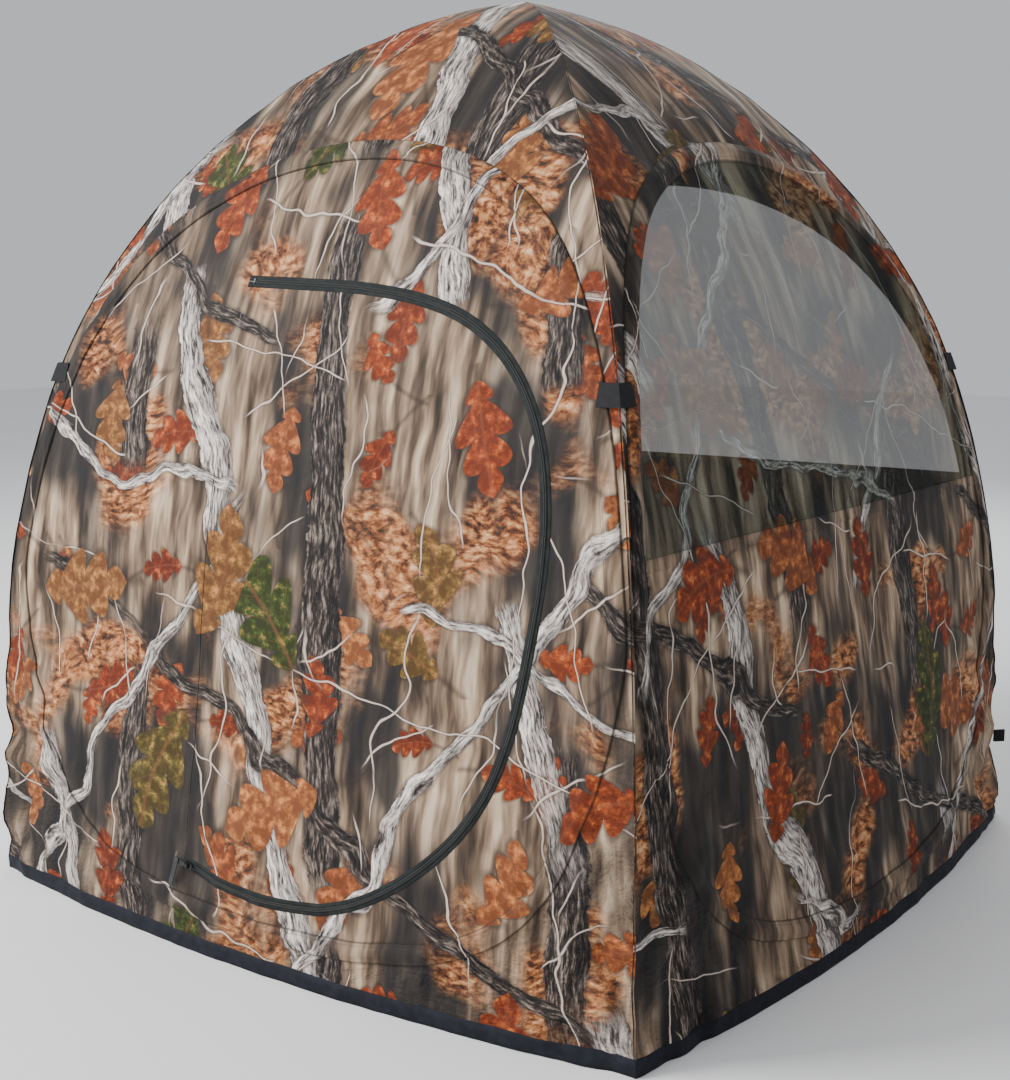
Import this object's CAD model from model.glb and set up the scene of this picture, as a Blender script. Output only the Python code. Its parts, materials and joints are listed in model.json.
import bpy, math, json
import numpy as np
from mathutils import Vector, Matrix, noise


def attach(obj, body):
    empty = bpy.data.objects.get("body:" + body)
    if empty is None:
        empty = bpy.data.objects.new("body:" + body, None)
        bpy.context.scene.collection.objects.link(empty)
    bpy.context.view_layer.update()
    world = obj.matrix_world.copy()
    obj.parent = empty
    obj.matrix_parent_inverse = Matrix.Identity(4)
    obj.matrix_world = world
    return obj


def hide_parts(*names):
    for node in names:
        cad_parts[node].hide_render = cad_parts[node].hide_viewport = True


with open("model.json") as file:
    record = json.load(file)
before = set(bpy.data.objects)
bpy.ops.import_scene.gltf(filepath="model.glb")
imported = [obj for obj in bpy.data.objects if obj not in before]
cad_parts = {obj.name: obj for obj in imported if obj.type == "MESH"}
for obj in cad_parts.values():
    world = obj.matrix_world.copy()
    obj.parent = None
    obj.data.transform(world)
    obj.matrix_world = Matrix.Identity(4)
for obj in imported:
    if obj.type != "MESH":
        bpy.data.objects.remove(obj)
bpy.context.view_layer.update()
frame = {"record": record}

# ------------------------------------------------------------ the cloth's form
RIDGE = np.array([
    (-60, 753, 74), (0, 750, 70), (90, 745, 64), (180, 742, 52), (280, 741, 36), (380, 738, 22),
    (480, 733, 12), (580, 727, 7), (680, 715.5, 5), (780, 699, 4.5), (880, 678.5, 4.5),
    (980, 653, 5.5), (1080, 621, 8), (1180, 579, 13), (1270, 533, 18), (1350, 484, 23),
    (1425, 429, 27), (1495, 369, 27), (1556, 306, 24), (1606, 243, 19), (1646, 180, 13),
    (1676, 120, 8), (1696, 68, 4.5), (1708, 24, 2), (1712.5, 0, 0)], float) / 1000.0
HOOP = np.array([
    (0, 58), (150, 62), (300, 79), (430, 113), (530, 172), (604, 262), (656, 380), (692, 500),
    (710, 625), (693.5, 745), (669, 860), (640, 960), (592, 1075), (515, 1195), (405, 1299),
    (265, 1371), (130, 1405), (0, 1415)], float) / 1000.0
HINGE = -0.170
ZIP = np.array([
    (-170, 150), (-102, 137), (-34, 129.5), (36, 127), (105, 131), (174, 142), (262, 178), (353, 240), (420, 305),
    (474, 385), (513, 490), (539, 620), (550, 740), (543, 840), (518, 930), (478, 1000), (420, 1060),
    (340, 1108), (240, 1139), (110, 1158), (-30, 1166), (-170, 1172)], float) / 1000.0
SILL, HEM = 0.750, 0.026


def spline(points, closed_tangents=None, n=400):
    """Dense cubic line through 2-D points, by chord length (Catmull-Rom)."""
    p = np.asarray(points, float)
    out = []
    for i in range(len(p) - 1):
        p1, p2 = p[i], p[i + 1]
        p0 = p[i - 1] if i else 2 * p1 - p2
        p3 = p[i + 2] if i + 2 < len(p) else 2 * p2 - p1
        d0 = max(np.linalg.norm(p1 - p0), 1e-6) ** 0.5
        d1 = max(np.linalg.norm(p2 - p1), 1e-6) ** 0.5
        d2 = max(np.linalg.norm(p3 - p2), 1e-6) ** 0.5
        m1 = (p1 - p0) / d0 - (p2 - p0) / (d0 + d1) + (p2 - p1) / d1
        m2 = (p2 - p1) / d1 - (p3 - p1) / (d1 + d2) + (p3 - p2) / d2
        m1, m2 = m1 * d1, m2 * d1
        for k in range(24):
            t = k / 24.0
            out.append((2 * t**3 - 3 * t**2 + 1) * p1 + (t**3 - 2 * t**2 + t) * m1
                       + (-2 * t**3 + 3 * t**2) * p2 + (t**3 - t**2) * m2)
    out.append(p[-1])
    return np.array(out)


RD = spline(RIDGE[:, :2]); BD = spline(RIDGE[:, [0, 2]])


def ridge(z):
    return np.interp(z, RD[:, 0], RD[:, 1])


def wall_w(u, z):
    r = np.maximum(ridge(z), 1e-5)
    return r + np.interp(z, BD[:, 0], BD[:, 1]) * np.maximum(0.0, 1 - (u / r) ** 2)


hoop_full = spline(np.concatenate([[(-HOOP[1][0], HOOP[1][1])], HOOP, [(-HOOP[-2][0], HOOP[-2][1])]]))
hoop_full = hoop_full[24:-24]
HOOPC = np.concatenate([hoop_full, (hoop_full[::-1] * (-1, 1))[1:-1]])
ZIPD = spline(ZIP)


def offset_line(line, inset, closed):
    p = np.asarray(line)
    if closed:
        t = np.roll(p, -1, 0) - np.roll(p, 1, 0)
    else:
        t = np.gradient(p, axis=0)
    t /= np.linalg.norm(t, axis=1)[:, None] + 1e-12
    n = np.stack([t[:, 1], -t[:, 0]], 1)
    return p - inset * n


def resample(line, n, closed):
    p = np.concatenate([line, line[:1]]) if closed else np.asarray(line)
    s = np.concatenate([[0], np.cumsum(np.linalg.norm(np.diff(p, axis=0), axis=1))])
    q = np.linspace(0, s[-1], n + 1)
    if closed:
        q = q[:-1]
    return np.stack([np.interp(q, s, p[:, k]) for k in (0, 1)], 1)


def smooth(x, a, b):
    t = np.clip((x - a) / (b - a), 0, 1)
    return t * t * (3 - 2 * t)


def rumple(p):
    """How far the slack cloth stands in or out at a point, and the way it moves."""
    x, y, z = p
    rad = math.hypot(x, y) + 1e-6
    corner = min(abs(x), abs(y)) / (max(abs(x), abs(y)) + 1e-6)
    near = float(smooth(corner, 0.50, 0.90))
    low = float(1 - smooth(z, 0.10, 0.62))
    high = float(smooth(z, 1.32, 1.5)) * float(1 - smooth(z, 1.62, 1.70))
    n1 = noise.noise((x * 6.5, y * 6.5, z * 5.0))
    n2 = noise.noise((x * 17 + 3, y * 17, z * 9.0 + 7))
    n3 = noise.noise((x * 38 + 11, y * 38 + 5, z * 30.0))
    fold = noise.noise(((x - y) * 13 + 3.0 * z, z * 19 + 4, (x + y) * 13))
    a = 0.0022 * n1 + 0.0012 * n2 + 0.0005 * n3
    a += near * low * (0.0240 * fold + 0.0120 * n2 + 0.0045 * n3)
    a += low * (0.0050 * n2 + 0.0012 * n3) * (1 - near)
    a += high * (0.006 * n1 + 0.003 * n2)
    a *= 0.45 + 0.55 * float(smooth(z, 0.0, 0.05))
    return a, Vector((x / rad, y / rad, 0.12))


TURN = {"door": 0, "right": 90, "back": 180, "left": 270}
BODY = {"door": "shell", "right": "shell", "left": "shell", "back": "shell"}


def lay(points, wall, lift):
    """Wall points (u, z) to the row frame; lift is outwards from the cloth face."""
    u, z = points[:, 0], points[:, 1]
    w = wall_w(u, z)
    e = 1e-3
    du = (wall_w(u + e, z) - wall_w(u - e, z)) / (2 * e)
    dz = (wall_w(u, z + e) - wall_w(u, z - e)) / (2 * e)
    n = np.stack([-du, -np.ones_like(u), -dz], 1)
    n[:, 1] = -1.0
    n = np.stack([-du, -np.ones_like(u), -dz], 1)
    n /= np.linalg.norm(n, axis=1)[:, None]
    p = np.stack([u, -w, z], 1) + n * (np.asarray(lift)[..., None] - 0.003)
    a = math.radians(TURN[wall]); c, s = math.cos(a), math.sin(a)
    q = np.stack([c * p[:, 0] - s * p[:, 1], s * p[:, 0] + c * p[:, 1], p[:, 2]], 1)
    q[:, 2] = np.maximum(q[:, 2], 0.0)
    return q


def sheet_mesh(name, rows, wall, lift, closed, material, drape=1.0, uvs=None, along=None):
    """Grid of (u, z) rows laid on a wall: rows is (m, n, 2)."""
    m, n, _ = rows.shape
    lift = np.broadcast_to(np.asarray(lift, float), (m, n)).reshape(-1)
    pts = lay(rows.reshape(-1, 2), wall, lift)
    for i in range(len(pts)):
        a, d = rumple(pts[i])
        pts[i] += np.array(d) * a * drape
    pts[:, 2] = np.maximum(pts[:, 2], 0.0)
    faces = []
    for i in range(m - 1):
        for k in range(n if closed else n - 1):
            k2 = (k + 1) % n
            faces.append((i * n + k, i * n + k2, (i + 1) * n + k2, (i + 1) * n + k))
    me = bpy.data.meshes.new(name)
    me.from_pydata([tuple(p) for p in pts], [], faces)
    me.update()
    c = sum((p.center for p in me.polygons), Vector()) / len(me.polygons)
    out = sum(p.normal.dot(Vector((p.center.x, p.center.y, 0.2))) for p in me.polygons)
    if out < 0:
        me.flip_normals()
    uvl = me.uv_layers.new(name="wall")
    strip = me.uv_layers.new(name="strip")
    flat = rows.reshape(-1, 2)
    if along is None:
        along = np.zeros((m, n, 2))
    al = np.asarray(along).reshape(-1, 2)
    for loop in me.loops:
        v = loop.vertex_index
        uvl.data[loop.index].uv = flat[v]
        strip.data[loop.index].uv = al[v]
    for p in me.polygons:
        p.use_smooth = True
    o = bpy.data.objects.new(name, me)
    bpy.context.scene.collection.objects.link(o)
    o.data.materials.append(material)
    return o


# ------------------------------------------------------------------- materials
class Nodes:
    def __init__(self, name):
        self.m = bpy.data.materials.new(name)
        self.m.use_nodes = True
        self.t = self.m.node_tree
        self.bsdf = next(n for n in self.t.nodes if n.type == "BSDF_PRINCIPLED")
        self.out = next(n for n in self.t.nodes if n.type == "OUTPUT_MATERIAL")

    def put(self, socket, value):
        if hasattr(value, "is_output"):
            self.t.links.new(value, socket)
        elif value is not None:
            if isinstance(value, (tuple, list)) and len(value) == 3 and socket.type == "RGBA":
                value = (*value, 1)
            socket.default_value = value

    def math(self, op, a, b=None, c=None, clamp=False):
        n = self.t.nodes.new("ShaderNodeMath"); n.operation = op; n.use_clamp = clamp
        self.put(n.inputs[0], a); self.put(n.inputs[1], b); self.put(n.inputs[2], c)
        return n.outputs[0]

    def vec(self, op, a, b=None, scale=None):
        n = self.t.nodes.new("ShaderNodeVectorMath"); n.operation = op
        self.put(n.inputs[0], a); self.put(n.inputs[1], b)
        if scale is not None:
            self.put(n.inputs[3], scale)
        return n.outputs[1] if op in ("LENGTH", "DOT_PRODUCT") else n.outputs[0]

    def xyz(self, x, y, z=0.0):
        n = self.t.nodes.new("ShaderNodeCombineXYZ")
        self.put(n.inputs[0], x); self.put(n.inputs[1], y); self.put(n.inputs[2], z)
        return n.outputs[0]

    def split(self, v):
        n = self.t.nodes.new("ShaderNodeSeparateXYZ"); self.put(n.inputs[0], v)
        return n.outputs

    def noise(self, v, scale, detail=2.0, rough=0.5, color=False):
        n = self.t.nodes.new("ShaderNodeTexNoise")
        self.put(n.inputs["Vector"], v); n.inputs["Scale"].default_value = scale
        n.inputs["Detail"].default_value = detail; n.inputs["Roughness"].default_value = rough
        return n.outputs["Color"] if color else n.outputs[0]

    def ramp(self, f, stops):
        n = self.t.nodes.new("ShaderNodeValToRGB"); self.put(n.inputs[0], f)
        r = n.color_ramp
        while len(r.elements) < len(stops):
            r.elements.new(0.5)
        for e, (p, c) in zip(r.elements, stops):
            e.position = p; e.color = (*c, 1) if len(c) == 3 else c
        return n.outputs[0]

    def mix(self, f, a, b, mode="MIX"):
        n = self.t.nodes.new("ShaderNodeMix"); n.data_type = "RGBA"; n.blend_type = mode
        self.put(n.inputs[0], f); self.put(n.inputs[6], a); self.put(n.inputs[7], b)
        return n.outputs[2]

    def step(self, x, lo, hi):
        n = self.t.nodes.new("ShaderNodeMapRange"); n.interpolation_type = "SMOOTHSTEP"
        self.put(n.inputs[0], x); n.inputs[1].default_value = lo; n.inputs[2].default_value = hi
        return n.outputs[0]

    def bump(self, height, distance, strength=1.0, normal=None):
        n = self.t.nodes.new("ShaderNodeBump"); self.put(n.inputs["Height"], height)
        n.inputs["Distance"].default_value = distance; n.inputs["Strength"].default_value = strength
        if normal is not None:
            self.put(n.inputs["Normal"], normal)
        return n.outputs[0]


def print_colour(N, P):
    """Woodland print on metric cloth coordinates: blurred forest, litter, trunks, limbs, twigs and leaves."""
    w = N.vec("SCALE", N.vec("SUBTRACT", N.noise(P, 2.6, 3, 0.55, True), (0.5, 0.5, 0.5)), scale=0.20)
    w2 = N.vec("SCALE", N.vec("SUBTRACT", N.noise(P, 11.0, 2, 0.5, True), (0.5, 0.5, 0.5)), scale=0.030)
    Pw = N.vec("ADD", N.vec("ADD", P, w), w2)
    # blurred forest, stretched upright
    S = N.vec("MULTIPLY", N.vec("ADD", P, N.vec("SCALE", w, scale=0.35)), (1.0, 0.13, 1.0))
    f1 = N.noise(S, 34.0, 3, 0.55)
    base = N.ramp(f1, [(0.30, (0.034, 0.026, 0.021)), (0.42, (0.13, 0.097, 0.074)), (0.53, (0.30, 0.232, 0.175)), (0.68, (0.58, 0.49, 0.395))])
    f2 = N.noise(N.vec("MULTIPLY", P, (1.0, 0.42, 1.0)), 4.2, 3, 0.55)
    col = N.mix(N.step(f2, 0.45, 0.57), base, N.mix(0.90, base, (0.018, 0.019, 0.023)))
    # leaf litter
    f3 = N.noise(N.vec("ADD", P, (7.3, 2.1, 0)), 3.4, 2, 0.5)
    lit = N.noise(N.vec("MULTIPLY", Pw, (1.0, 1.9, 1.0)), 42.0, 4, 0.65)
    litter = N.ramp(lit, [(0.34, (0.020, 0.012, 0.009)), (0.45, (0.20, 0.072, 0.026)), (0.54, (0.46, 0.215, 0.090)), (0.68, (0.72, 0.50, 0.32))])
    col = N.mix(N.math("MULTIPLY", N.step(f3, 0.53, 0.61), 0.88), col, litter)

    def limbs(col, angle, period, width, shift, wobble, dark, cut):
        c, s = math.cos(angle), math.sin(angle)
        across = N.vec("DOT_PRODUCT", N.vec("ADD", P, N.vec("SCALE", w, scale=wobble)), (c, s, 0))
        along = N.vec("DOT_PRODUCT", P, (-s, c, 0))
        a = N.math("DIVIDE", N.math("ADD", across, shift), period)
        cell = N.math("FLOOR", a)
        d = N.math("MULTIPLY", N.math("ABSOLUTE", N.math("SUBTRACT", N.math("FRACT", a), 0.5)), period)
        side = N.math("SUBTRACT", N.math("FRACT", a), 0.5)
        key = N.noise(N.xyz(N.math("MULTIPLY", cell, 7.77), N.math("MULTIPLY", along, 1.6), shift * 3), 1.0, 1, 0.5)
        wd = N.math("MULTIPLY", width, N.math("ADD", 0.55, N.math("MULTIPLY", key, 0.9)))
        rough = N.math("MULTIPLY", N.math("SUBTRACT", N.noise(Pw, 70.0, 2), 0.5), width * 0.5)
        e = N.math("SUBTRACT", N.math("ADD", d, rough), wd)
        mask = N.math("SUBTRACT", 1.0, N.step(e, -0.0012, 0.0006))
        mask = N.math("MULTIPLY", mask, N.step(key, cut, cut + 0.03))
        B = N.xyz(N.math("MULTIPLY", across, 1.0), N.math("MULTIPLY", along, 0.17), 0.3 + shift)
        bark = N.noise(B, 190.0, 4, 0.7)
        if dark:
            bc = N.ramp(bark, [(0.38, (0.008, 0.007, 0.008)), (0.50, (0.050, 0.042, 0.040)), (0.60, (0.20, 0.17, 0.155)), (0.74, (0.48, 0.43, 0.40))])
        else:
            bc = N.ramp(bark, [(0.34, (0.018, 0.016, 0.018)), (0.43, (0.19, 0.175, 0.175)), (0.51, (0.47, 0.45, 0.44)), (0.63, (0.80, 0.78, 0.77))])
        shade = N.step(N.math("MULTIPLY", side, period / width), -0.1, 0.95)
        bc = N.mix(N.math("MULTIPLY", shade, 0.62), bc, N.mix(1.0, bc, (0.30, 0.28, 0.30), "MULTIPLY"))
        edge = N.math("MULTIPLY", N.math("SUBTRACT", 1.0, N.step(e, 0.0, 0.007)), N.step(key, cut, cut + 0.03))
        col = N.mix(N.math("MULTIPLY", edge, 0.45), col, (0.03, 0.028, 0.03))
        return N.mix(mask, col, bc)

    def leaves(col, scale, size, shift, keep_at):
        v = N.t.nodes.new("ShaderNodeTexVoronoi")
        v.voronoi_dimensions = "2D"; v.inputs["Scale"].default_value = scale
        v.inputs["Randomness"].default_value = 0.85
        Q = N.vec("ADD", P, (shift, shift * 0.63, 0))
        N.put(v.inputs["Vector"], Q)
        L = N.vec("SUBTRACT", Q, v.outputs["Position"])
        rnd = N.split(v.outputs["Color"])
        ang = N.math("MULTIPLY", rnd[0], 6.283)
        x, y, _ = N.split(L)
        ca, sa = N.math("COSINE", ang), N.math("SINE", ang)
        lx = N.math("ADD", N.math("MULTIPLY", x, ca), N.math("MULTIPLY", y, sa))
        ly = N.math("SUBTRACT", N.math("MULTIPLY", y, ca), N.math("MULTIPLY", x, sa))
        bend = N.math("MULTIPLY", N.math("MULTIPLY", ly, ly), N.math("MULTIPLY", N.math("SUBTRACT", rnd[1], 0.5), 9.0))
        lx = N.math("ADD", lx, bend)
        s = N.math("MULTIPLY", size, N.math("ADD", 0.65, N.math("MULTIPLY", rnd[2], 0.55)))
        t = N.math("ADD", N.math("DIVIDE", ly, N.math("MULTIPLY", s, 2.0)), 0.5)
        tc = N.math("MINIMUM", N.math("MAXIMUM", t, 0.0), 1.0)
        bell = N.math("POWER", N.math("SINE", N.math("MULTIPLY", tc, 3.1416)), 0.75)
        ax = N.math("DIVIDE", N.math("ABSOLUTE", lx), s)
        lobe = N.math("ABSOLUTE", N.math("COSINE", N.math("SUBTRACT", N.math("MULTIPLY", tc, 11.0), N.math("MULTIPLY", ax, 3.2))))
        lobe = N.math("ADD", 0.30, N.math("MULTIPLY", 0.70, N.math("POWER", lobe, 0.6)))
        half = N.math("MULTIPLY", N.math("MULTIPLY", bell, lobe), 0.60)
        e = N.math("SUBTRACT", ax, half)
        on = N.step(rnd[1], keep_at, keep_at + 0.01)
        mask = N.math("MULTIPLY", N.math("SUBTRACT", 1.0, N.step(e, -0.03, 0.01)), on)
        shadow = N.math("MULTIPLY", N.math("SUBTRACT", 1.0, N.step(e, -0.02, 0.16)), on)
        hue = N.ramp(rnd[2], [(0.0, (0.24, 0.052, 0.016)), (0.25, (0.43, 0.115, 0.030)), (0.5, (0.33, 0.080, 0.026)), (0.72, (0.50, 0.235, 0.095)), (0.93, (0.085, 0.125, 0.030))])
        blot = N.noise(Q, 48.0, 4, 0.65)
        hue = N.mix(N.step(blot, 0.42, 0.66), N.mix(1.0, hue, (0.42, 0.36, 0.36), "MULTIPLY"), hue)
        hue = N.mix(N.math("MULTIPLY", N.step(blot, 0.56, 0.70), 0.45), hue, (0.70, 0.36, 0.16))
        vein = N.math("SUBTRACT", 1.0, N.step(ax, 0.012, 0.045))
        sv = N.math("ABSOLUTE", N.math("SINE", N.math("SUBTRACT", N.math("MULTIPLY", tc, 17.0), N.math("MULTIPLY", ax, 9.0))))
        vein = N.math("MAXIMUM", vein, N.math("MULTIPLY", N.math("SUBTRACT", 1.0, N.step(sv, 0.03, 0.16)), 0.6))
        hue = N.mix(N.math("MULTIPLY", vein, 0.45), hue, (0.22, 0.09, 0.05))
        col = N.mix(N.math("MULTIPLY", shadow, 0.55), col, (0.035, 0.028, 0.026))
        return N.mix(mask, col, hue)

    col = leaves(col, 4.9, 0.062, 8.3, 0.50)
    col = limbs(col, 0.10, 0.47, 0.036, 0.06, 0.60, True, 0.38)
    col = leaves(col, 4.4, 0.078, 1.7, 0.42)
    col = limbs(col, 0.36, 0.56, 0.029, 0.16, 0.85, False, 0.42)
    col = limbs(col, 1.12, 0.62, 0.014, 0.61, 1.0, True, 0.43)
    col = limbs(col, -0.62, 0.60, 0.012, 0.23, 1.3, False, 0.44)
    col = limbs(col, 1.30, 0.74, 0.009, 0.40, 1.5, False, 0.45)
    for ang, per, sh, wob in ((-0.9, 0.21, 0.05, 1.5), (0.35, 0.17, 0.13, 1.9), (1.35, 0.24, 0.31, 1.4), (-0.15, 0.19, 0.47, 2.2)):
        c, s = math.cos(ang), math.sin(ang)
        across = N.vec("DOT_PRODUCT", N.vec("ADD", P, N.vec("ADD", N.vec("SCALE", w, scale=wob * 0.6), w2)), (c, s, 0))
        a = N.math("DIVIDE", N.math("ADD", across, sh), per)
        d = N.math("MULTIPLY", N.math("ABSOLUTE", N.math("SUBTRACT", N.math("FRACT", a), 0.5)), per)
        on = N.step(N.noise(N.vec("ADD", P, (sh * 9, 0, 0)), 3.1, 1, 0.5), 0.52, 0.56)
        line = N.math("MULTIPLY", N.math("SUBTRACT", 1.0, N.step(d, 0.0009, 0.0022)), on)
        dark = N.math("MULTIPLY", N.math("SUBTRACT", 1.0, N.step(d, 0.002, 0.0048)), on)
        col = N.mix(N.math("MULTIPLY", dark, 0.4), col, (0.05, 0.045, 0.045))
        col = N.mix(line, col, (0.55, 0.49, 0.46))
    col = leaves(col, 3.1, 0.112, 4.9, 0.47)
    return col


def weave(N, P, normal_extra=None):
    x, y, _ = N.split(P)
    wv = N.math("MULTIPLY", N.math("SINE", N.math("MULTIPLY", x, 5200.0)), N.math("SINE", N.math("MULTIPLY", y, 5200.0)))
    b1 = N.bump(N.noise(P, 26.0, 4, 0.6), 0.004, 0.55)
    return N.bump(wv, 0.0001, 0.25, b1)


def uv(N, layer="wall"):
    n = N.t.nodes.new("ShaderNodeUVMap"); n.uv_map = layer
    return n.outputs[0]


def cloth(name, shift, shade=1.0, seams=False, slack=0.0):
    N = Nodes(name)
    P = N.vec("ADD", uv(N), shift)
    col = print_colour(N, P)
    hs = N.t.nodes.new("ShaderNodeGamma"); N.put(hs.inputs[0], col); hs.inputs[1].default_value = 1.22
    col = N.mix(1.0, hs.outputs[0], (1.10, 1.02, 0.93), "MULTIPLY")
    if shade != 1.0:
        col = N.mix(1.0, col, (shade, shade, shade), "MULTIPLY")
    if seams:
        run, across, _ = N.split(uv(N, "strip"))
        edge = N.math("ADD", N.math("SUBTRACT", 1.0, N.step(across, 0.0006, 0.0034)), N.step(across, 0.0300, 0.0336), clamp=True)
        col = N.mix(N.math("MULTIPLY", edge, 0.62), col, (0.020, 0.017, 0.015))
        row = N.math("SUBTRACT", 1.0, N.step(N.math("ABSOLUTE", N.math("SUBTRACT", across, 0.0275)), 0.0003, 0.0009))
        dash = N.step(N.math("SINE", N.math("MULTIPLY", run, 2 * math.pi / 0.0034)), -0.2, 0.1)
        col = N.mix(N.math("MULTIPLY", N.math("MULTIPLY", row, dash), 0.7), col, (0.03, 0.028, 0.026))
        col = N.mix(N.step(across, -0.0008, -0.0002), (0.012, 0.012, 0.014), col)
    geo = N.t.nodes.new("ShaderNodeNewGeometry")
    inner = N.mix(N.noise(P, 300.0, 2), (0.010, 0.010, 0.012), (0.020, 0.020, 0.022))
    N.put(N.bsdf.inputs["Base Color"], N.mix(geo.outputs["Backfacing"], col, inner))
    N.put(N.bsdf.inputs["Roughness"], N.math("ADD", 0.62, N.math("MULTIPLY", N.noise(P, 14.0, 2), 0.22)))
    N.bsdf.inputs["Specular IOR Level"].default_value = 0.20
    N.bsdf.inputs["Sheen Weight"].default_value = 0.02
    normal = weave(N, P)
    if slack:
        height = N.split(uv(N))[1]
        crease = N.math("MULTIPLY", N.noise(N.vec("MULTIPLY", P, (1.0, 1.5, 1.0)), 9.0, 5, 0.62), N.math("SUBTRACT", 1.0, N.step(height, 0.25, 0.75)))
        normal = N.bump(crease, slack, 1.0, normal)
    N.put(N.bsdf.inputs["Normal"], normal)
    return N.m


def mesh_cloth(name, shift):
    N = Nodes(name)
    P = N.vec("ADD", uv(N), shift)
    col = print_colour(N, P)
    col = N.mix(0.12, N.mix(1.0, col, (0.72, 0.78, 0.70), "MULTIPLY"), (0.045, 0.060, 0.050))
    N.put(N.bsdf.inputs["Base Color"], col)
    N.bsdf.inputs["Roughness"].default_value = 0.7
    N.bsdf.inputs["Alpha"].default_value = 0.50
    N.bsdf.inputs["Specular IOR Level"].default_value = 0.15
    N.put(N.bsdf.inputs["Normal"], weave(N, P))
    return N.m


def webbing(name, base, light, layer="wall", scale=900.0):
    N = Nodes(name)
    P = uv(N, layer)
    x, y, _ = N.split(P)
    r = N.math("MULTIPLY", N.math("SINE", N.math("MULTIPLY", x, scale * 2)), N.math("SINE", N.math("MULTIPLY", y, scale * 2)))
    n = N.noise(P, 60.0, 3)
    N.put(N.bsdf.inputs["Base Color"], N.mix(N.math("MULTIPLY", N.step(n, 0.35, 0.7), 0.8), base, light))
    N.put(N.bsdf.inputs["Roughness"], N.math("ADD", 0.55, N.math("MULTIPLY", n, 0.25)))
    N.bsdf.inputs["Specular IOR Level"].default_value = 0.18
    N.put(N.bsdf.inputs["Normal"], N.bump(r, 0.0004, 0.5, N.bump(n, 0.003, 0.4)))
    return N.m


def hard(name, base, light, metallic, rough):
    N = Nodes(name)
    co = N.t.nodes.new("ShaderNodeTexCoord").outputs["Object"]
    n = N.noise(co, 220.0, 4, 0.6)
    m = N.noise(co, 30.0, 3, 0.6)
    N.put(N.bsdf.inputs["Base Color"], N.mix(N.step(m, 0.4, 0.65), base, light))
    N.put(N.bsdf.inputs["Roughness"], N.math("ADD", rough, N.math("MULTIPLY", n, 0.18)))
    N.bsdf.inputs["Metallic"].default_value = metallic
    N.put(N.bsdf.inputs["Normal"], N.bump(n, 0.0002, 0.3))
    return N.m


def chain_material(name):
    N = Nodes(name)
    s, t, _ = N.split(uv(N, "strip"))
    r = N.math("SINE", N.math("MULTIPLY", s, 2 * math.pi / 0.0022))
    N.put(N.bsdf.inputs["Base Color"], N.ramp(N.math("ADD", N.math("MULTIPLY", r, 0.5), 0.5), [(0.2, (0.003, 0.003, 0.003)), (0.8, (0.030, 0.034, 0.032))]))
    N.bsdf.inputs["Roughness"].default_value = 0.42
    N.put(N.bsdf.inputs["Normal"], N.bump(r, 0.0006, 0.8))
    return N.m


SHIFT = {"door": (0.0, 0.0, 0.0), "right": (3.1, 0.6, 0.0), "back": (7.7, 1.9, 0.0), "left": (11.3, 4.2, 0.0)}
CLOTH = {w: cloth("printed_cloth_" + w, SHIFT[w]) for w in TURN}
ROOF = {w: cloth("printed_roof_" + w, (SHIFT[w][0] + 1.37, SHIFT[w][1] + 2.9, 0)) for w in TURN}
SLEEVE = {w: cloth("printed_sleeve_" + w, SHIFT[w], 0.84, seams=True) for w in TURN}
SILLC = {w: cloth("printed_sill_" + w, SHIFT[w], 0.80) for w in TURN}
SKIRT = {w: cloth("printed_skirt_" + w, SHIFT[w], 0.92, slack=0.030) for w in TURN}
MESH = {w: mesh_cloth("window_mesh_" + w, SHIFT[w]) for w in TURN}
HEMM = webbing("dark_hem_binding", (0.004, 0.005, 0.009), (0.013, 0.015, 0.024))
TAPE = webbing("zip_tape_weave", (0.008, 0.010, 0.010), (0.022, 0.026, 0.025), "strip", 1600.0)
CHAIN = chain_material("zip_coil")
STEEL = hard("spring_steel", (0.30, 0.31, 0.34), (0.46, 0.47, 0.50), 1.0, 0.28)
BLACK = hard("black_enamel", (0.012, 0.012, 0.013), (0.035, 0.035, 0.038), 0.6, 0.32)
WEB = webbing("black_webbing", (0.006, 0.006, 0.007), (0.017, 0.017, 0.019), "wall", 900.0)

# ------------------------------------------------------------------ the pieces
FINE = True
NA = 420 if FINE else 160
CENTRE = np.array([0.0, 0.655])


def by_angle(line, centre, angles):
    d = np.asarray(line) - centre
    a = np.unwrap(np.arctan2(d[:, 1], d[:, 0]))
    r = np.hypot(d[:, 0], d[:, 1])
    if a[-1] < a[0]:
        a, r = a[::-1], r[::-1]
    a2 = np.concatenate([a - 2 * np.pi, a, a + 2 * np.pi]); r2 = np.tile(r, 3)
    o = np.argsort(a2, kind="stable")
    rr = np.interp(angles, a2[o], r2[o])
    return centre + np.stack([np.cos(angles), np.sin(angles)], 1) * rr[:, None]


zz = np.linspace(HEM, 1.7124, 700)
edge_r = np.stack([ridge(zz), zz], 1)
bottom = np.stack([np.linspace(-ridge(HEM), ridge(HEM), 120)[1:-1], np.full(118, HEM)], 1)
WALL = np.concatenate([bottom, edge_r, (edge_r[::-1] * (-1, 1))[1:]])
corner_a = [math.atan2(HEM - CENTRE[1], s * float(ridge(HEM))) % (2 * math.pi) for s in (1, -1)]
foot_a = [math.atan2(0.8 - CENTRE[1], s * float(ridge(0.8))) % (2 * math.pi) for s in (1, -1)]
angles = np.unique(np.round(np.concatenate([np.linspace(0, 2 * np.pi, NA, endpoint=False), corner_a, foot_a, [math.pi / 2]]), 6))

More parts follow.
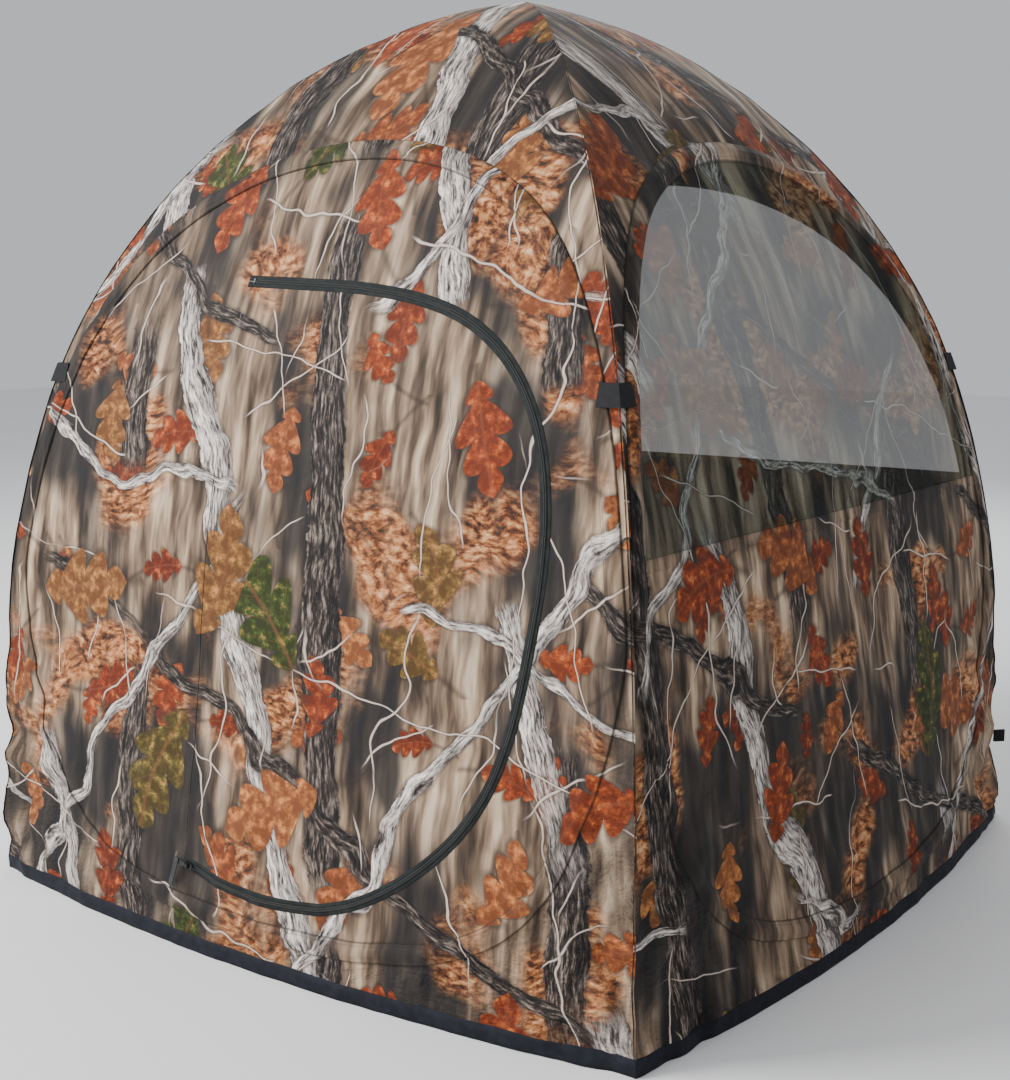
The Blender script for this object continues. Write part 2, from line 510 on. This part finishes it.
for wall in TURN:
    body = BODY[wall]
    # roof gore and skirt: from under the sleeve out to the ridges, apex and hem
    gore_a = np.concatenate([[foot_a[0]], angles[(angles > foot_a[0]) & (angles < foot_a[1])], [foot_a[1]]])
    skirt_a = np.concatenate([[foot_a[1]], angles[angles > foot_a[1]], 2 * np.pi + angles[angles < foot_a[0]], [2 * np.pi + foot_a[0]]])
    for kind, aa, mats in (("roof_gore", gore_a, ROOF), ("skirt", skirt_a, SKIRT)):
        inner = by_angle(offset_line(HOOPC, 0.006, True), CENTRE, aa)
        outer = by_angle(WALL, CENTRE, aa)
        t = np.linspace(0, 1, 30 if FINE else 12)[:, None, None]
        rows = inner[None] * (1 - t) + outer[None] * t
        o = sheet_mesh(f"{wall}_{kind}_cloth", rows, wall, 0.0, False, mats[wall])
        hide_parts(f"{wall}_wall_{kind}"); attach(o, body)
    # hem binding
    u = np.linspace(-1, 1, 240 if FINE else 90)
    prof = [(HEM + 0.002, 0.0), (HEM, 0.0022), (0.018, 0.0026), (0.008, 0.0026), (0.001, 0.0018), (0.0, -0.001), (0.004, -0.003), (HEM - 0.004, -0.003)]
    rows = np.array([[(k * float(ridge(z)), z) for k in u] for z, l in prof])
    lifts = np.array([[l] * len(u) for z, l in prof])
    o = sheet_mesh(f"{wall}_hem_binding", rows, wall, lifts, False, HEMM)
    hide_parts(f"{wall}_wall_hem"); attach(o, body)
    # hoop sleeve: flat pocket with the band standing up inside it
    n = 460 if FINE else 200
    base = resample(HOOPC, n, True)
    prof = [(0.000, 0.0006), (0.0008, 0.0032), (0.003, 0.0042), (0.007, 0.0044), (0.0095, 0.0058), (0.013, 0.0066), (0.020, 0.0066), (0.0235, 0.0058), (0.026, 0.0042), (0.030, 0.0038), (0.0330, 0.0030), (0.034, 0.0006)]
    rows, along, lifts = [], [], []
    s = np.linspace(0, 4.4, n)
    pucker = np.array([noise.noise((math.cos(k / n * 6.283) * 26, math.sin(k / n * 6.283) * 26, TURN[wall])) for k in range(n)])
    for d, l in prof:
        rows.append(offset_line(base, d, True)); along.append(np.stack([s, np.full(n, d)], 1))
        lifts.append(l + 0.0011 * pucker * (1.0 if 0.0005 < d < 0.0335 else 0.0))
    for d, l in ((0.0335, -0.0004), (0.0300, -0.0028), (0.0240, -0.0036), (0.0100, -0.0036), (0.0030, -0.0026), (0.0004, -0.0004), (0.0, 0.0006)):
        rows.append(offset_line(base, d, True)); along.append(np.stack([s, np.full(n, -0.001 - d)], 1))
        lifts.append(np.full(n, l))
    o = sheet_mesh(f"{wall}_hoop_sleeve_cloth", np.array(rows), wall, np.array(lifts), True, SLEEVE[wall], along=np.array(along))
    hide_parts(f"{wall}_wall_hoop_sleeve"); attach(o, body)
    # steel band inside the sleeve
    rows = np.array([offset_line(base, d, True) for d in (0.011, 0.023, 0.023, 0.011, 0.011)])
    lifts = np.array([[l] * n for l in (0.0005, 0.0005, -0.0015, -0.0015, 0.0005)])
    o = sheet_mesh(f"{wall}_spring_band", rows, wall, lifts, True, STEEL)
    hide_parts(f"{wall}_wall_steel_hoop"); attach(o, body)
    inner_line = offset_line(HOOPC, 0.0325, True)
    if wall != "door":
        left = inner_line
        zi = inner_line[:len(inner_line) // 2 + 1]
        o_ = np.argsort(zi[:, 1]); zs, us = zi[o_, 1], np.abs(zi[o_, 0])
        z0, z1 = float(zs[0]), float(zs[-1])
        k = np.linspace(-1, 1, 120 if FINE else 50)
        for kind, lo, hi, mats, slotname in (("lower_panel", z0 + 1e-4, SILL, CLOTH, "printed_cloth"), ("window_mesh", SILL, z1 - 1e-4, MESH, "window_mesh")):
            nz = 90 if FINE else 36
            if kind == "lower_panel":
                zrow = lo + (hi - lo) * (np.linspace(0, 1, nz) ** 1.6)
            else:
                zrow = hi - (hi - lo) * (np.linspace(1, 0, nz) ** 1.6)
            rows = np.array([[(kk * float(np.interp(z, zs, us)), z) for kk in k] for z in zrow])
            o = sheet_mesh(f"{wall}_{kind}_cloth", rows, wall, 0.0, False, mats[wall])
            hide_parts(f"{wall}_wall_{kind}"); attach(o, body)
        zl = [(SILL - 0.010, 0.0003), (SILL - 0.0092, 0.0016), (SILL - 0.002, 0.0013), (SILL + 0.004, 0.0016), (SILL + 0.0092, 0.0016), (SILL + 0.010, 0.0003)]
        rows = np.array([[(kk * float(np.interp(z, zs, us)), z) for kk in k] for z, l in zl])
        o = sheet_mesh(f"{wall}_sill_seam", rows, wall, np.array([[l] * len(k) for z, l in zl]), False, SILLC[wall])
        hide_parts(f"{wall}_wall_window_sill"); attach(o, body)

# ---------------------------------------------------------------- the door wall
DC = np.array([0.10, 0.655])


def d_loop(out, left):
    z = offset_line(ZIPD, -out, False)
    z = z[z[:, 0] > left + 1e-4]
    bottom_left = np.array([left, z[0][1]]); top_left = np.array([left, z[-1][1]])
    side = np.linspace(top_left, bottom_left, 160)
    return np.concatenate([z, side])


aa = np.unique(np.round(np.concatenate([np.linspace(0, 2 * np.pi, NA, endpoint=False)] + [
    [math.atan2(z - DC[1], HINGE - DC[0]) % (2 * math.pi)] for z in (0.150, 1.172)]), 6))
hole = by_angle(d_loop(0.0085, HINGE - 0.001), DC, aa)
egg = by_angle(offset_line(HOOPC, 0.0325, True), DC, aa)
t = np.linspace(0, 1, 34 if FINE else 14)[:, None, None]
o = sheet_mesh("door_wall_panel_cloth", hole[None] * (1 - t) + egg[None] * t, "door", 0.0, True, CLOTH["door"])
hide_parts("door_wall_panel"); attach(o, "shell")
flap = by_angle(d_loop(-0.0085, HINGE + 0.0004), DC, aa)
t = np.concatenate([[0.004], np.linspace(0.02, 1, 50 if FINE else 18)])[:, None, None]
o = sheet_mesh("door_flap_cloth", DC[None, None] * (1 - t) + flap[None] * t, "door", 0.0, True, CLOTH["door"])
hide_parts("door_flap"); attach(o, "door_flap")
line = resample(ZIPD, 620 if FINE else 200, False)
ss = np.linspace(0, 2.2, len(line))
for name, node, prof, mat, b, sl in (
    ("zip_tape_wall_half", "door_zip_tape_wall", [(0.0011, 0.0), (0.0012, 0.0006), (0.005, 0.0009), (0.0100, 0.0008), (0.0104, 0.0002)], TAPE, "shell", "zip_tape"),
    ("zip_tape_flap_half", "door_zip_tape_flap", [(-0.0011, 0.0), (-0.0012, 0.0006), (-0.005, 0.0009), (-0.0100, 0.0008), (-0.0104, 0.0002)], TAPE, "door_flap", "zip_tape"),
    ("zip_coil_wall_half", "door_zip_chain_wall", [(0.0001, 0.0004), (0.0002, 0.0022), (0.0014, 0.0030), (0.0028, 0.0026), (0.0034, 0.0008)], CHAIN, "shell", "zip_chain"),
    ("zip_coil_flap_half", "door_zip_chain_flap", [(-0.0001, 0.0004), (-0.0002, 0.0022), (-0.0014, 0.0030), (-0.0028, 0.0026), (-0.0034, 0.0008)], CHAIN, "door_flap", "zip_chain")):
    base = line[(line[:, 0] > HINGE + 0.018)] if "coil" in name else line
    sb = np.linspace(0, 2.2, len(base))
    rows = np.array([offset_line(base, -d, False) for d, l in prof])
    lifts = np.array([[l] * len(base) for d, l in prof])
    o = sheet_mesh(name, rows, "door", lifts, False, mat, along=np.array([np.stack([sb, np.full(len(base), d)], 1) for d, l in prof]))
    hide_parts(node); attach(o, b)


# ------------------------------- small pieces that keep the CAD shape and move with the cloth
def twin(node, name, body, material, bevel=0.0003):
    src = bpy.data.objects[node]
    me = src.data.copy(); me.name = name
    o = bpy.data.objects.new(name, me)
    bpy.context.scene.collection.objects.link(o)
    if "wall" not in me.uv_layers:
        layer = me.uv_layers.new(name="wall")
        for loop in me.loops:
            v = me.vertices[loop.vertex_index].co
            layer.data[loop.index].uv = ((v.x + v.y) * 0.7, v.z)
    me.materials.clear(); me.materials.append(material)
    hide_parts(node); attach(o, body)
    return o


node_names = [s["node"] for s in frame["record"]["subparts"]]
for nme in node_names:
    if "hoop_tie" in nme:
        twin(nme, nme + "_webbing", "shell", WEB)
    elif nme.endswith("ferrule"):
        twin(nme, nme + "_crimp", "shell", STEEL)
    elif nme == "ridge_webbing_loop":
        twin(nme, "ridge_loop_webbing", "shell", WEB)
    elif nme == "door_zip_stops":
        twin(nme, "zip_end_stops", "shell", BLACK)
    elif nme in ("door_zip_slider", "door_zip_pull", "door_zip_pull_tail"):
        ob = bpy.data.objects[nme]
        mat = hard("pull_webbing", (0.010, 0.010, 0.011), (0.03, 0.03, 0.034), 0.0, 0.6) if nme.endswith("tail") else BLACK
        if ob.data.materials:
            for i in range(len(ob.data.materials)):
                ob.data.materials[i] = mat
        else:
            ob.data.materials.append(mat)

# ------------------------------------------------------------- floor and light
def plain(name, colour, rough):
    N = Nodes(name)
    co = N.t.nodes.new("ShaderNodeTexCoord").outputs["Object"]
    N.put(N.bsdf.inputs["Base Color"], N.mix(N.noise(co, 3.0, 3), colour, tuple(c * 0.98 for c in colour)))
    N.bsdf.inputs["Roughness"].default_value = rough
    return N.m


me = bpy.data.meshes.new("floor")
S = 14.0
rows = [(-S, -S, 0), (S, -S, 0), (S, S, 0), (-S, S, 0)]
me.from_pydata(rows, [], [(0, 1, 2, 3)])
floor = bpy.data.objects.new("floor", me); bpy.context.scene.collection.objects.link(floor)
me.materials.append(plain("pale_floor", (0.86, 0.86, 0.86), 0.8))

world = bpy.data.worlds.new("studio"); bpy.context.scene.world = world
world.use_nodes = True
world.node_tree.nodes["Background"].inputs[0].default_value = (0.93, 0.96, 1.0, 1)
world.node_tree.nodes["Background"].inputs[1].default_value = 0.62


def area(name, loc, aim, size, power, colour=(1, 1, 1)):
    d = bpy.data.lights.new(name, "AREA"); d.energy = power; d.size = size; d.color = colour
    o = bpy.data.objects.new(name, d); bpy.context.scene.collection.objects.link(o)
    o.location = loc
    o.rotation_euler = (Vector(aim) - Vector(loc)).to_track_quat("-Z", "Y").to_euler()


area("key", (-3.6, -4.0, 4.4), (0, -0.3, 0.8), 2.6, 520)
area("front", (-0.6, -5.4, 2.0), (0, -0.5, 0.8), 3.0, 120)
area("side", (5.0, 0.5, 3.4), (0.5, 0, 0.7), 3.5, 18)
area("rear", (-1.5, 4.5, 3.6), (0, 0.5, 0.8), 3.0, 110)

yaw, pitch, roll = math.radians(-36.72), math.radians(8.95), math.radians(-0.29)
fwd = Vector((math.sin(yaw) * math.cos(pitch), math.cos(yaw) * math.cos(pitch), -math.sin(pitch)))
right = Vector((math.cos(yaw), -math.sin(yaw), 0.0)); up = right.cross(fwd)
r = math.cos(roll) * right + math.sin(roll) * up
u_ = -math.sin(roll) * right + math.cos(roll) * up
cam = bpy.data.cameras.new("camera"); co = bpy.data.objects.new("camera", cam)
bpy.context.scene.collection.objects.link(co)
M = Matrix((r, u_, -fwd)).transposed().to_4x4()
M.translation = Vector((1.926, -2.643, 1.158))
co.matrix_world = M
cam.sensor_fit = "VERTICAL"; cam.sensor_height = 36.0; cam.sensor_width = 36.0
cam.lens = 1605.0 * 36.0 / 1080.0
bpy.context.scene.camera = co
